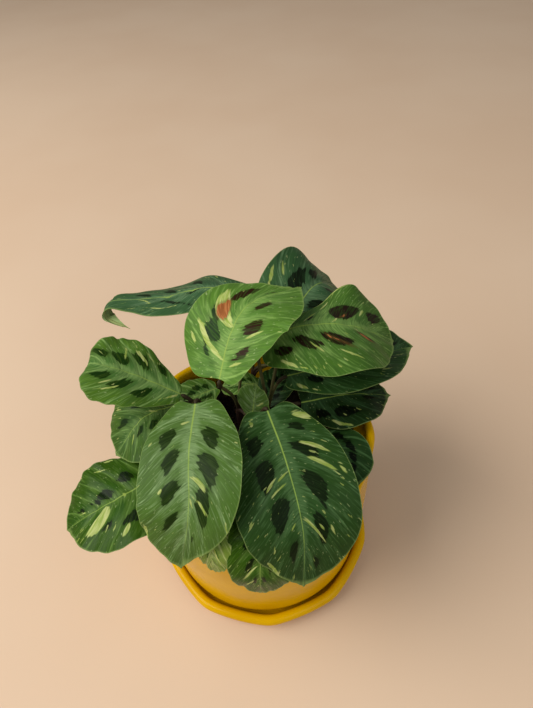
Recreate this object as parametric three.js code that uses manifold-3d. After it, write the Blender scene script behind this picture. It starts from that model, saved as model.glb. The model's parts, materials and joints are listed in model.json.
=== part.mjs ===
import * as THREE from 'three';
import { mergeVertices } from 'three/addons/utils/BufferGeometryUtils.js';
import Module from 'manifold-3d';

const wasm = await Module();
wasm.setup();

// A prayer plant in a glazed pot that stands in its saucer.
// Millimetres, +Z up, -Y to the front. The origin is on the table under the pot's axis.

// Fits between pieces that touch
const GAP = 0.3;

// Pot
const RIM_HEIGHT = 118;
const RIM_RADIUS = 66;
const POT_WALL = 4.6;
const POT_FLOOR = 6;
const FOOT_RADIUS = 48;
const SHOULDER_RADIUS = 62;
const SHOULDER_RISE = 15;
const BELLY_RADIUS = 65;
const BELLY_HEIGHT = 0.55 * RIM_HEIGHT;
const DRAIN_RADIUS = 6;
const SIDE_STEPS = 5;

// Saucer
const SAUCER_RADIUS = 70;
const SAUCER_HEIGHT = 14;
const SAUCER_FLOOR = 4.5;
const SAUCER_ROLL = 6.4;
const SAUCER_FOOT = 55;
const ROLL_START = -40;
const ROLL_TURN = 220;
const ROLL_STEPS = 5;

// The soft ten-sided rims. The pot is round below SIDES_START. A corner is where the first one is, in degrees.
const SIDES = 10;
const STEPS_A_SIDE = 3;
const SIDE_DEPTH = 0.03;
const SIDES_START = 0.45 * RIM_HEIGHT;
const POT_CORNER = -7;
const SAUCER_CORNER = -90;

// Potting mix
const SOIL_HEIGHT = 95;
const SOIL_LUMP = 1.4;
const SOIL_RINGS = 5;
const STEM_DEPTH = 30;

// Blades. The veins sweep towards the tip, and the two lobes at the base reach back by LOBE of the length.
const BLADE_THICKNESS = 0.8;
const BLADE_STEPS = 12;
const HALF_STEPS = 3;
const VEIN_SWEEP = 0.15;
const VEIN_BEND = 1.6;
const LOBE = 0.05;
const LOBE_END = 0.25;
const EDGE_RIPPLES = 2;
const LEFT_PHASE = 0.35;

// Stems, petioles and knees
const STEM_RADIUS = 2.4;
const PETIOLE_RADIUS = 1.1;
const KNEE_RADIUS = 1.3;
const KNEE_LENGTH = 7;
const KNEE_GAP = 0.65;
const STALK_SIDES = 6;
const STEM_STEPS = 4;
const STEM_TAPER = 0.25;
const PETIOLE_STEPS = 8;
const FIRST_PETIOLE = 0.4;
const LAST_PETIOLE = 0.9;

const rad = THREE.MathUtils.degToRad;

// What a leaf has where its own line below doesn't say. Angles are in degrees, and lengths in mm.
// roll: how far the blade turns about its rib, and twist: how much more at the tip.
// fold: how far the halves rise from the rib, and open: how much more at the tip.
// curl: how far each half bends on towards its edge. wave: how high the edge ripples.
// broad: how much fuller the blade is near its tip. blunt: how long its point is, as a share of its length.
// full: width against the usual. phase: where the edge ripples start. left and right: a half's own values.
const PLAIN_LEAF = {
  roll: 0, twist: 0, fold: 6, open: 0, curl: -10, wave: 1.5, broad: 0, blunt: 0.06, full: 1,
};

// The leaves. rib: the midrib from base to tip. width: across the flat blade.
const LEAVES = [
  // Front, hanging over the rim
  { name: 'leaf_front_left', rib: [[-27, -6, 152], [-29, -33, 151], [-30, -57, 139], [-38, -69, 108]],
    width: 50, roll: -5, wave: 1, blunt: 0.05, left: { blunt: 0.3, full: 1.18 } },
  { name: 'leaf_front_right', rib: [[8, -9, 146], [15, -37, 143], [20, -63, 129], [19, -78, 98]],
    width: 58, roll: -3, curl: -14, wave: 1, blunt: 0.09, dark: true },
  { name: 'leaf_front_low', rib: [[1, -38, 120.8], [1, -61, 123.2], [-1, -73.5, 106], [-2, -74.5, 84]],
    width: 32, fold: 4, curl: -14, wave: 0.5, dark: true },
  { name: 'leaf_front_pale', rib: [[-16, -44, 119], [-20.5, -57, 120.9], [-23, -66, 113.5], [-23, -67.5, 97]],
    width: 13, fold: 4, curl: -8, wave: 0.3 },
  // Left
  { name: 'leaf_low_left', rib: [[-47, -24, 120], [-64, -34, 120.5], [-84, -41, 114], [-98, -44, 105]],
    width: 52, fold: 4, left: { broad: -0.22, blunt: 0.09, full: 0.98 },
    right: { broad: 0.12, blunt: 0.02 }, dark: true },
  { name: 'leaf_mid_left', rib: [[-38, 9, 134], [-56.5, -1, 137], [-72.5, -13.5, 123]],
    width: 46, roll: -5, fold: 4, wave: 1, right: { full: 0.88 } },
  { name: 'leaf_left', rib: [[-37, 9, 142], [-57, 13, 154], [-71, 15, 161], [-82, 17, 162],
    [-86, 18, 156], [-83, 17.5, 148]], width: 45, roll: -6, blunt: 0.05,
    left: { broad: 0.05, blunt: 0.2, full: 0.87 } },
  // High ones
  { name: 'leaf_top_left', rib: [[0, 50, 174], [-21, 54, 175], [-42, 56, 169], [-61, 60, 165],
    [-78, 62, 164], [-80, 58, 156], [-64, 47, 153]], width: 37, roll: -5, twist: -10, fold: -6, wave: 1,
    blunt: 0.1, left: { broad: -0.5, blunt: 0.25, full: 0.9 }, right: { broad: -0.4, full: 0.9 }, dark: true },
  { name: 'leaf_top_middle', rib: [[-14, 1, 161], [-7, 16, 176], [4, 31, 182], [31, 48, 176]],
    width: 57, wave: 1, blunt: 0.1, left: { broad: -0.5, blunt: 0.25, full: 0.95 },
    right: { broad: 0.12, full: 0.95 } },
  { name: 'leaf_top_right', rib: [[8, 21, 164], [27, 22, 172], [53, 24, 168], [80, 32, 146]],
    width: 57, roll: 12, twist: -26, fold: -20, open: 34, broad: 0.05, blunt: 0.08,
    left: { broad: 0.85, blunt: 0.2, wave: 4, phase: 0.05 } },
  { name: 'leaf_top_back', rib: [[21, 39.5, 151], [32.5, 56, 161], [44, 69, 160], [60, 84, 138]],
    width: 60, roll: -28, fold: 10, curl: -14, blunt: 0.25, left: { blunt: 0.4, full: 1.18, wave: 6 },
    dark: true },
  // Right
  { name: 'leaf_right', rib: [[20, 16, 142], [54, 18, 148], [94, 38, 134]],
    width: 42, left: { broad: 0.15, blunt: 0.03, full: 1.25 }, right: { blunt: 0.2 }, dark: true },
  { name: 'leaf_low_right', rib: [[27, 12, 123], [53, 12, 127], [79, 18, 116]],
    width: 48, blunt: 0.1, right: { blunt: 0.25 }, dark: true },
  { name: 'leaf_far_right', rib: [[34, -11, 123], [44, -21, 124.5], [50, -40, 121]],
    width: 28, fold: 4, curl: -4, wave: 0.5, dark: true },
  // Small young ones inside
  { name: 'leaf_middle', rib: [[-1, 11, 115], [1, 12, 127], [3, 16, 138]],
    width: 22, fold: 10, wave: 0.5, dark: true },
  { name: 'leaf_inner_left', rib: [[-22, 37, 111], [-34, 31, 112], [-46, 26, 109]],
    width: 24, fold: 20, wave: 0.5 },
  { name: 'leaf_inner_back', rib: [[4, 36, 113], [-8, 34, 117], [-19, 34, 113]],
    width: 18, fold: 16, wave: 0.5, dark: true },
  { name: 'leaf_inner_right', rib: [[8, 21, 112], [15, 31, 118], [24, 42, 116]],
    width: 23, fold: 16, wave: 0.5, dark: true },
  // Back
  { name: 'leaf_back_left', rib: [[-11, 52, 120], [-19, 74, 124], [-25, 94, 102]],
    width: 38, curl: -12, wave: 1, dark: true },
  { name: 'leaf_back_middle', rib: [[4, 52, 132], [9, 76, 134], [12, 98, 114]], width: 42, curl: -12 },
  { name: 'leaf_back_right', rib: [[18, 46, 124], [33, 66, 124], [44, 86, 102]], width: 40, curl: -12 },
  { name: 'leaf_back_far_right', rib: [[36, 28, 131], [62, 38, 130], [86, 52, 111]],
    width: 38, curl: -12, dark: true },
].map((given) => {
  const leaf = { ...PLAIN_LEAF, ...given };
  const left = { ...leaf, phase: LEFT_PHASE, ...leaf.left };
  const right = { ...leaf, phase: 0, ...leaf.right };
  return { ...leaf, left, right };
});

// The short shoots: where each leaves the potting mix, where it ends, and the leaves that it carries
const SHOOTS = [
  { name: 'stem_left', foot: [-18, 12], top: [-22, 10, 112],
    leaves: ['leaf_front_left', 'leaf_low_left', 'leaf_mid_left', 'leaf_left'] },
  { name: 'stem_front', foot: [-2, -4], top: [-2, -8, 112],
    leaves: ['leaf_front_right', 'leaf_front_low', 'leaf_front_pale', 'leaf_far_right'] },
  { name: 'stem_middle', foot: [-9, 20], top: [-9, 21, 110],
    leaves: ['leaf_top_left', 'leaf_top_middle', 'leaf_middle'] },
  { name: 'stem_right', foot: [6, 16], top: [8, 16, 112],
    leaves: ['leaf_top_right', 'leaf_top_back', 'leaf_right', 'leaf_low_right', 'leaf_inner_right'] },
  { name: 'stem_back', foot: [0, 41], top: [0, 45, 110],
    leaves: ['leaf_inner_left', 'leaf_inner_back', 'leaf_back_left', 'leaf_back_middle', 'leaf_back_right',
      'leaf_back_far_right'] },
];

// Leaf surfaces

// The point of the blade beside the midrib at u (0 at its base, 1 at its tip), y mm out along the blade
function bladePoint(leaf, u, y, lift = 0) {
  const along = Math.min(Math.max(u, 0), 1);
  const at = leaf.curve.getPointAt(along);
  const forward = leaf.curve.getTangentAt(along);
  at.addScaledVector(forward, (u - along) * leaf.length);
  const side = leaf.across.clone().addScaledVector(forward, -leaf.across.dot(forward)).normalize();
  const up = side.clone().cross(forward);
  const roll = rad(leaf.roll + leaf.twist * along);
  const right = side.clone().multiplyScalar(Math.cos(roll)).addScaledVector(up, Math.sin(roll));
  const top = up.multiplyScalar(Math.cos(roll)).addScaledVector(side, -Math.sin(roll));
  const half = leaf.width / 2;
  const q = Math.abs(y) / half;
  const fold = rad(leaf.fold + leaf.open * along);
  const curl = rad(leaf.curl);
  const slope = fold + curl * q;
  const out = half * (Math.sin(slope) - Math.sin(fold)) / curl;
  const rise = half * (Math.cos(fold) - Math.cos(slope)) / curl;
  const own = y < 0 ? leaf.left : leaf.right;
  const ripple = own.wave * q * q * Math.sin(2 * Math.PI * (EDGE_RIPPLES * along + own.phase));
  const normal = top.clone()
    .multiplyScalar(Math.cos(slope))
    .addScaledVector(right, -Math.sign(y) * Math.sin(slope));
  return at.addScaledVector(right, Math.sign(y) * out)
    .addScaledVector(top, rise + ripple)
    .addScaledVector(normal, lift);
}

// The outline of one half at tau (0 at the base, 1 at the tip): place along the rib and share of its width
function outline(half, tau) {
  const along = (1 - Math.cos(Math.PI * tau)) / 2;
  const fuller = half.full * (1 - half.broad * Math.cos(Math.PI * tau));
  const lobe = tau < LOBE_END ? LOBE * Math.min(fuller, 1) * Math.sin(Math.PI * tau / LOBE_END) ** 2 : 0;
  const point = 1 - Math.exp(-(1 - along) / half.blunt);
  return [along - lobe, Math.sin(Math.PI * tau) * point * fuller];
}

// A side vein leaves the rib at s and sweeps forward to the outline; t runs along it from 0 to 1
function veinPoint(half, s, t) {
  const along = Math.min(s + VEIN_SWEEP * Math.sin(Math.PI * s), 1);
  const [x, y] = outline(half, Math.acos(1 - 2 * along) / Math.PI);
  return [s + (x - s) * t ** VEIN_BEND, y * t];
}

function blade(leaf) {
  const across = 2 * HALF_STEPS + 1;
  const places = [];
  for (const lift of [BLADE_THICKNESS / 2, -BLADE_THICKNESS / 2]) {
    for (let i = 0; i <= BLADE_STEPS; i++) {
      const s = (1 - Math.cos(Math.PI * i / BLADE_STEPS)) / 2;
      const end = i === 0 || i === BLADE_STEPS;
      for (let j = -HALF_STEPS; j <= HALF_STEPS; j++) {
        const half = j < 0 ? leaf.left : leaf.right;
        const [u, share] = end ? [s, 0] : veinPoint(half, s, Math.abs(j) / HALF_STEPS);
        const y = Math.sign(j) * share * leaf.width / 2;
        places.push(bladePoint(leaf, u, y, lift));
      }
    }
  }
  const layer = across * (BLADE_STEPS + 1);
  const faces = [];
  const quad = (a, b, c, d) => faces.push([a, b, c], [a, c, d]);
  for (let i = 0; i < BLADE_STEPS; i++) {
    for (let j = 0; j < across - 1; j++) {
      const a = i * across + j;
      const [b, c, d] = [a + 1, a + across + 1, a + across];
      quad(a, b, c, d);
      quad(layer + d, layer + c, layer + b, layer + a);
    }
    const left = i * across;
    const right = left + across - 1;
    quad(left + across, left + across + layer, left + layer, left);
    quad(right, right + layer, right + across + layer, right + across);
  }
  return closedGeometry(places, faces);
}

// Vertices and faces as a geometry, with points that fall together merged and empty faces dropped
function closedGeometry(places, faces) {
  const geometry = new THREE.BufferGeometry();
  geometry.setAttribute('position', new THREE.Float32BufferAttribute(places.flatMap((p) => p.toArray()), 3));
  geometry.setIndex(faces.flat());
  const merged = mergeVertices(geometry, 1e-3);
  const index = merged.index.array;
  const kept = [];
  for (let i = 0; i < index.length; i += 3) {
    const [a, b, c] = index.slice(i, i + 3);
    if (a !== b && b !== c && c !== a) kept.push(a, b, c);
  }
  merged.setIndex(kept);
  return merged;
}

// Solids for cutting and joining

function toSolid(geometry) {
  const bare = geometry.clone();
  bare.deleteAttribute('normal');
  bare.deleteAttribute('uv');
  const merged = mergeVertices(bare, 1e-3);
  const mesh = new wasm.Mesh({
    numProp: 3,
    vertProperties: Float32Array.from(merged.attributes.position.array),
    triVerts: Uint32Array.from(merged.index.array),
  });
  return new wasm.Manifold(mesh);
}

function toGeometry(solid) {
  const mesh = solid.getMesh();
  const geometry = new THREE.BufferGeometry();
  geometry.setAttribute('position', new THREE.Float32BufferAttribute(mesh.vertProperties, 3));
  geometry.setIndex(Array.from(mesh.triVerts));
  return geometry;
}

// Turned pieces

// Share of the way from a corner of the ten-sided rim (0) to the middle of a side (1)
function flatness(azimuth, corner) {
  const step = 360 / SIDES;
  const off = THREE.MathUtils.euclideanModulo(azimuth - corner, step) - step / 2;
  return 1 - (1 / Math.cos(rad(off)) - 1) / (1 / Math.cos(rad(step / 2)) - 1);
}

// A profile of [radius, height] turned round Z, its sides flattened by as much as sided(height) says
function turned(profile, corner, sided) {
  const points = profile.map(([r, z]) => new THREE.Vector2(r, z));
  const geometry = new THREE.LatheGeometry(points, SIDES * STEPS_A_SIDE, rad(corner + 90));
  geometry.rotateX(Math.PI / 2);
  const at = geometry.attributes.position;
  for (let i = 0; i < at.count; i++) {
    const azimuth = THREE.MathUtils.radToDeg(Math.atan2(at.getY(i), at.getX(i)));
    const scale = 1 - SIDE_DEPTH * sided(at.getZ(i)) * flatness(azimuth, corner);
    at.setXY(i, at.getX(i) * scale, at.getY(i) * scale);
  }
  return geometry;
}

const FOOT_HEIGHT = SAUCER_FLOOR + GAP;
const SHOULDER_HEIGHT = FOOT_HEIGHT + SHOULDER_RISE;
const FLOOR_HEIGHT = FOOT_HEIGHT + POT_FLOOR;

// The pot's side from shoulder to rim
const potSide = new THREE.QuadraticBezierCurve(
  new THREE.Vector2(SHOULDER_RADIUS, SHOULDER_HEIGHT),
  new THREE.Vector2(BELLY_RADIUS, BELLY_HEIGHT),
  new THREE.Vector2(RIM_RADIUS, RIM_HEIGHT - POT_WALL / 2),
);

function potRimSides(z) {
  return THREE.MathUtils.smoothstep(z, SIDES_START, RIM_HEIGHT - POT_WALL);
}

// The rounded lower edge, from the foot out to the shoulder, moved in by inset
function lowerEdge(inset, steps) {
  const points = [];
  for (let i = 0; i <= steps; i++) {
    const turn = Math.PI / 2 * i / steps;
    const reach = SHOULDER_RADIUS - FOOT_RADIUS;
    points.push([FOOT_RADIUS - inset / 2 + (reach - inset / 2) * Math.sin(turn),
      SHOULDER_HEIGHT - (SHOULDER_RISE - inset) * Math.cos(turn)]);
  }
  return points;
}

function pot() {
  const side = potSide.getPoints(SIDE_STEPS).map((p) => [p.x, p.y]);
  const lip = [0.25, 0.75].map((turn) => {
    const angle = Math.PI * turn;
    const inward = POT_WALL / 2 * (1 - Math.cos(angle));
    const down = POT_WALL / 2 * (1 - Math.sin(angle));
    return [RIM_RADIUS - inward, RIM_HEIGHT - down];
  });
  const inside = side.map(([r, z]) => [r - POT_WALL, z]).reverse();
  const profile = [
    [DRAIN_RADIUS, FOOT_HEIGHT], ...lowerEdge(0, 4), ...side.slice(1), ...lip,
    ...inside, ...lowerEdge(POT_FLOOR, 3).reverse().slice(1), [DRAIN_RADIUS, FLOOR_HEIGHT],
    [DRAIN_RADIUS, FOOT_HEIGHT],
  ];
  return turned(profile, POT_CORNER, potRimSides);
}

function saucer() {
  const roll = SAUCER_ROLL / 2;
  const crown = [];
  for (let i = 0; i <= ROLL_STEPS; i++) {
    const angle = rad(ROLL_START + ROLL_TURN * i / ROLL_STEPS);
    crown.push([SAUCER_RADIUS - roll + roll * Math.cos(angle), SAUCER_HEIGHT - roll + roll * Math.sin(angle)]);
  }
  const profile = [
    [0, 0], [SAUCER_FOOT, 0], [SAUCER_RADIUS - 6, 3.5], ...crown,
    [SAUCER_RADIUS - SAUCER_ROLL - 1.5, 6.5], [SAUCER_RADIUS - 12, SAUCER_FLOOR], [0, SAUCER_FLOOR],
  ];
  return turned(profile, SAUCER_CORNER, () => 1);
}

// Potting mix: fills the pot, lumpy on top, with a hole for each stem

function soil() {
  const side = potSide.getPoints(SIDE_STEPS).filter((p) => p.y < SOIL_HEIGHT);
  const inset = POT_WALL + 2 * GAP;
  const wall = side.map((p) => [p.x - inset, p.y]);
  const above = potSide.getPoints(SIDE_STEPS).find((p) => p.y >= SOIL_HEIGHT);
  const share = (SOIL_HEIGHT - side.at(-1).y) / (above.y - side.at(-1).y);
  const edge = THREE.MathUtils.lerp(side.at(-1).x, above.x, share) - inset;
  const top = [];
  for (let i = 0; i <= SOIL_RINGS; i++) top.push([edge * (1 - i / SOIL_RINGS), SOIL_HEIGHT]);
  const floor = lowerEdge(POT_FLOOR + GAP, 3).map(([r, z]) => [r - GAP, z]);
  const section = [[0, FLOOR_HEIGHT + GAP], ...floor, ...wall.slice(1), ...top];
  const geometry = turned(section, POT_CORNER, potRimSides);
  const at = geometry.attributes.position;
  for (let i = 0; i < at.count; i++) {
    const [x, y, z] = [at.getX(i), at.getY(i), at.getZ(i)];
    if (z < SOIL_HEIGHT - GAP || Math.hypot(x, y) > edge - 1) continue;
    const lump = Math.sin(0.31 * x + 1.3) * Math.cos(0.27 * y) + 0.5 * Math.sin(0.5 * y - 0.4 * x);
    at.setZ(i, z + SOIL_LUMP * lump);
  }
  let body = toSolid(geometry);
  for (const shoot of SHOOTS) body = body.subtract(toSolid(stem(shoot, GAP)));
  return toGeometry(body);
}

// Stems

// A round tube along a curve, closed at both ends; radiusAt(t) gives its radius from start (0) to end (1)
function stalk(curve, radiusAt, steps) {
  const frames = curve.computeFrenetFrames(steps, false);
  const places = [];
  const faces = [];
  for (let i = 0; i <= steps; i++) {
    const centre = curve.getPointAt(i / steps);
    const radius = radiusAt(i / steps);
    for (let j = 0; j < STALK_SIDES; j++) {
      const angle = 2 * Math.PI * j / STALK_SIDES;
      places.push(centre.clone().addScaledVector(frames.normals[i], radius * Math.cos(angle))
        .addScaledVector(frames.binormals[i], radius * Math.sin(angle)));
    }
  }
  for (let i = 0; i < steps; i++) {
    for (let j = 0; j < STALK_SIDES; j++) {
      const next = (j + 1) % STALK_SIDES;
      const [a, b] = [i * STALK_SIDES + j, i * STALK_SIDES + next];
      faces.push([a, b, b + STALK_SIDES], [a, b + STALK_SIDES, a + STALK_SIDES]);
    }
  }
  const last = steps * STALK_SIDES;
  for (let j = 1; j < STALK_SIDES - 1; j++) {
    faces.push([0, j + 1, j], [last, last + j, last + j + 1]);
  }
  return closedGeometry(places, faces);
}

// The shoot's own stem, grown by extra all round
function stem(shoot, extra = 0) {
  const foot = new THREE.Vector3(...shoot.foot, SOIL_HEIGHT - STEM_DEPTH - extra);
  const neck = new THREE.Vector3(...shoot.foot, SOIL_HEIGHT);
  const top = new THREE.Vector3(...shoot.top);
  const curve = new THREE.QuadraticBezierCurve3(foot, neck, top);
  return stalk(curve, (t) => STEM_RADIUS * (1 - STEM_TAPER * t) + extra, STEM_STEPS);
}

// From the shoot up to the leaf's base, thickened to the knee where it meets the blade
function petiole(shoot, leaf, order) {
  const top = new THREE.Vector3(...shoot.top);
  const neck = new THREE.Vector3(...shoot.foot, SOIL_HEIGHT);
  const start = neck.clone().lerp(top, THREE.MathUtils.lerp(FIRST_PETIOLE, LAST_PETIOLE, order));
  const forward = leaf.curve.getTangent(0);
  const end = leaf.curve.getPoint(0).addScaledVector(forward, -KNEE_GAP);
  const reach = end.distanceTo(start);
  const rise = top.clone().sub(neck).normalize();
  const curve = new THREE.CubicBezierCurve3(start, start.clone().addScaledVector(rise, 0.45 * reach),
    end.clone().addScaledVector(forward, -Math.min(KNEE_LENGTH, 0.4 * reach)), end);
  const knee = 1 - KNEE_LENGTH / curve.getLength();
  const radiusAt = (t) => (t > knee ? KNEE_RADIUS : PETIOLE_RADIUS);
  return stalk(curve, radiusAt, PETIOLE_STEPS);
}

function shootBody(shoot) {
  let body = toSolid(stem(shoot));
  shoot.leaves.forEach((name, i) => {
    const leaf = LEAVES.find((one) => one.name === name);
    body = body.add(toSolid(petiole(shoot, leaf, i / (shoot.leaves.length - 1))));
  });
  return toGeometry(body);
}

// Materials
const glaze = new THREE.MeshStandardMaterial({ color: 0xd2a10f, roughness: 0.3 });
const paleGreen = new THREE.MeshStandardMaterial({ color: 0x6f9a5f, roughness: 0.5 });
const darkGreen = new THREE.MeshStandardMaterial({ color: 0x3b6642, roughness: 0.4 });
const brown = new THREE.MeshStandardMaterial({ color: 0x5a4238, roughness: 0.6 });
const earth = new THREE.MeshStandardMaterial({ color: 0x1d1713, roughness: 1 });

const plant = new THREE.Group();

function add(name, geometry, material) {
  const mesh = new THREE.Mesh(geometry, material);
  mesh.name = name;
  plant.add(mesh);
}

for (const leaf of LEAVES) {
  const points = leaf.rib.map((p) => new THREE.Vector3(...p));
  const chord = points.at(-1).clone().sub(points[0]);
  leaf.curve = new THREE.CatmullRomCurve3(points, false, 'catmullrom', 0.5);
  leaf.length = leaf.curve.getLength();
  leaf.across = new THREE.Vector3(chord.y, -chord.x, 0).normalize();
}

add('saucer', saucer(), glaze);
add('pot', pot(), glaze);
add('potting_mix', soil(), earth);
for (const shoot of SHOOTS) add(shoot.name, shootBody(shoot), brown);
for (const leaf of LEAVES) add(leaf.name, blade(leaf), leaf.dark ? darkGreen : paleGreen);

export default plant;
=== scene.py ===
import json
import math

import bmesh
import bpy
import numpy as np
from mathutils import Matrix, Vector


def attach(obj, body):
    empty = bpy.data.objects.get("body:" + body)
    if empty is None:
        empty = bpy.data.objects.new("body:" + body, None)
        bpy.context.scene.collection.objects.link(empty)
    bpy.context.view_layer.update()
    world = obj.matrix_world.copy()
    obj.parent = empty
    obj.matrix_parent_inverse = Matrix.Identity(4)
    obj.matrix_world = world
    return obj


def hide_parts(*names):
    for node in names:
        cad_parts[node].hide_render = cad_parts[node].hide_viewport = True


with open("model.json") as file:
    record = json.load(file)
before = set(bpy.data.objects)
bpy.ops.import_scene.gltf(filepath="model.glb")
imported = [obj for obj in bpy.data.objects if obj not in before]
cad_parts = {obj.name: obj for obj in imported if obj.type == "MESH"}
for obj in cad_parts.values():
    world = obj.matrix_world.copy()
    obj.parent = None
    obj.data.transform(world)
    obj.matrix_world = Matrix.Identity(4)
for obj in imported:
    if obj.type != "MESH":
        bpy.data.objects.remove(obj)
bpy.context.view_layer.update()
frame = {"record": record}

# A prayer plant in a glazed pot that stands in its saucer.
# Lengths are in millimetres until a mesh is made, and in metres from there on.
MM = 0.001
SEED = 7

# Camera: the photograph's height and focal length in pixels, its place and its tilt
PHOTO_HEIGHT = 708
FOCAL_PIXELS = 520
SENSOR = 36.0
CAMERA_NEAR = 0.01
CAMERA_PLACE = (9.7, -164.9, 353.5)
CAMERA_PITCH = 46.85
CAMERA_ROLL = -4.31

# Stage: half the floor's width, the studio's own light, and each lamp's place, size, power and tint
FLOOR_HALF = 6.0
STUDIO_COLOUR = (0.94, 0.96, 0.97, 1)
STUDIO_STRENGTH = 0.3
LAMP_TARGET = (0, 0, 0.1)
LAMPS = {
    "key": ((-1.2, -0.2, 1.3), 1.6, 32, (1.0, 0.97, 0.93)),
    "fill": ((0.9, -1.0, 1.2), 1.4, 6, (0.95, 0.97, 1.0)),
}

# Pot and saucer, as in the solids
RIM_HEIGHT = 118
RIM_RADIUS = 66
POT_WALL = 4.6
POT_FLOOR = 6
FOOT_RADIUS = 48
SHOULDER_RADIUS = 62
SHOULDER_RISE = 15
BELLY_RADIUS = 65
BELLY_HEIGHT = 0.55 * RIM_HEIGHT
DRAIN_RADIUS = 6
SAUCER_RADIUS = 70
SAUCER_HEIGHT = 14
SAUCER_FLOOR = 4.5
SAUCER_ROLL = 6.4
SAUCER_FOOT = 55
GAP = 0.3
FOOT_HEIGHT = SAUCER_FLOOR + GAP
SHOULDER_HEIGHT = FOOT_HEIGHT + SHOULDER_RISE
FLOOR_HEIGHT = FOOT_HEIGHT + POT_FLOOR
SIDES = 10
SIDE_DEPTH = 0.03
SIDES_START = 0.45 * RIM_HEIGHT
POT_CORNER = -7
SAUCER_CORNER = -90
CORNER_SOFTNESS = 4.0

# How finely the pot and the saucer are turned
TURN_STEPS = 240
SIDE_STEPS = 30
LIP_STEPS = 14
OUTER_EDGE_STEPS = 14
INNER_EDGE_STEPS = 10
ROLL_STEPS = 22
FOOT_BEVEL = 2
ROLL_START = -40

# The saucer's outline under its rolled rim and inside it, as radius and height
SAUCER_FLAT = 20
SAUCER_OUTSIDE = [
    (0, 0), (SAUCER_FLAT, 0), (SAUCER_FOOT - 3, 0), (SAUCER_FOOT, 0.25), (SAUCER_FOOT + 5, 1.5),
    (SAUCER_RADIUS - 6, 3.6), (SAUCER_RADIUS - 3.2, 6.2), (SAUCER_RADIUS - 1.6, 8),
]
ROLL_INSIDE = SAUCER_RADIUS - SAUCER_ROLL
SAUCER_INSIDE = [
    (ROLL_INSIDE - 0.5, 8.6), (ROLL_INSIDE - 1.8, 6.6), (ROLL_INSIDE - 3.6, 5.2),
    (SAUCER_RADIUS - 12.5, SAUCER_FLOOR), (SAUCER_FLAT, SAUCER_FLOOR), (0, SAUCER_FLOOR),
]

# Potting mix
SOIL_HEIGHT = 95
SOIL_LUMP = 1.4
SOIL_UNEVENNESS = 0.9
SOIL_GRAIN = 0.16
SOIL_FIT = 0.1
SOIL_RIM_SINK = 2.2
SOIL_DEPTH = 25
SOIL_TAPER = 0.97
SOIL_RINGS = 56
SOIL_STEPS = 144
SOIL_SIDE_STEPS = 60
CRUMBS = 260
CRUMB_REACH = 0.94
CRUMB_SIZES = (0.5, 1.9)
CRUMB_WIDTHS = (0.5, 0.9)
CRUMB_HEIGHTS = (0.35, 0.7)
CRUMB_CORNERS = (0.65, 1.1)
CRUMB_TILT = 0.4
CRUMB_LIFT = 0.35

# Blades
BLADE_THICKNESS = 0.55
EDGE_THICKNESS = 0.25
ROWS = 110
ACROSS = 57
VEIN_SWEEP = 0.27
VEIN_BEND = 1.45
LOBE = 0.05
LOBE_END = 0.25
EDGE_RIPPLES = 2
LEFT_PHASE = 0.35
VEIN_SLANT = 0.78
UV_UNIT = 100
EDGE_REACH = 3
KEEL_WIDTH = 0.8
KEEL_ABOVE = 0.12
KEEL_BELOW = 0.7

# Relief of a blade: its sunk veins, the quilting between them and its crinkled edge
VEIN_DEPTH = 0.28
VEIN_WIDTH = 0.9
QUILT_HEIGHT = 0.34
QUILT_REACH = 4.5
CRINKLE = 0.32
SWAY = 0.25
UNEVENNESS = 0.008

# Blotches: their form, and where those of a leaf lie whose own don't show
OUTSIDE = -9.0
BLOTCH_FULLNESS = 1.07
BLOTCH_LENGTH = 0.87
BLOTCH_TAPER = 0.3
BLOTCH_SQUARENESS = 2.8
USUAL_IN_ROW = 4
USUAL_FIRST = (0.14, 0.05)
USUAL_STEP = 0.165
USUAL_SLANT = 0.05
USUAL_INNER = (0.14, 0.24)
USUAL_LENGTHS = (0.30, 0.38)
USUAL_SHORTENING = 0.03
USUAL_WIDTHS = (0.8, 1.1)
USUAL_HALF_WIDTH = 0.062

# Feathering: the least share of the width that counts as a main blotch, and the rows where there are none
MAIN_BLOTCH = 0.022
PLAIN_ROW = [0.2, 0.4, 0.6]
PLAIN_STEP = 0.17
BRANCH_LEAN = 0.06
BRANCH_STRENGTH = 0.85

# Stems
STEM_DEPTH = 30
STEM_RADIUS = 2.4
STEM_TAPER = 0.25
PETIOLE_RADIUS = 0.9
KNEE_RADIUS = 1.1
KNEE_LENGTH = 7
KNEE_GAP = 0.3
KNEE_BLEND = 1.5
KNEE_PINCH = 0.5
KNEE_TONE = -1
SHEATH = 0.7
SHEATH_LENGTH = 6
SPINE_STEPS = 24
END_PINCH = 0.25
FIRST_PETIOLE = 0.4
LAST_PETIOLE = 0.9
STALK_SIDES = 16
PETIOLE_STEPS = 56

# What a leaf has where its own entry doesn't say. Its rib, width, bends and margins are mostly those of
# its solid, and a few tips and margins are nearer to the photograph.
# tone: its row in TONES. quilt: how deep it is quilted. wobble: how uneven its edge is.
# flecks: how many small pale flecks it has. veined: how light its main veins are.
# green_below: up to there the left half's blotches are green. cream_edge: the same for its cream margin.
# marks are dark blotches, streaks cream stripes along the veins and spots dead tan bits.
# Each of them has an inner end, an outer end and half its width in mm. An end is its place along the
# midrib and its place on the vein from there to the edge, in percent, which is below 0 on the left half.
HALF_KEYS = ("wave", "broad", "blunt", "full")
PLAIN_LEAF = {
    "roll": 0, "twist": 0, "fold": 6, "open": 0, "curl": -10, "wave": 1.5, "broad": 0, "blunt": 0.06,
    "full": 1, "left": {}, "right": {}, "tone": "dark", "quilt": 1, "wobble": 1, "flecks": 0.5,
    "marks": None, "streaks": (), "spots": (), "green_below": 0, "cream_edge": 0, "veined": 1,
}

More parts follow.
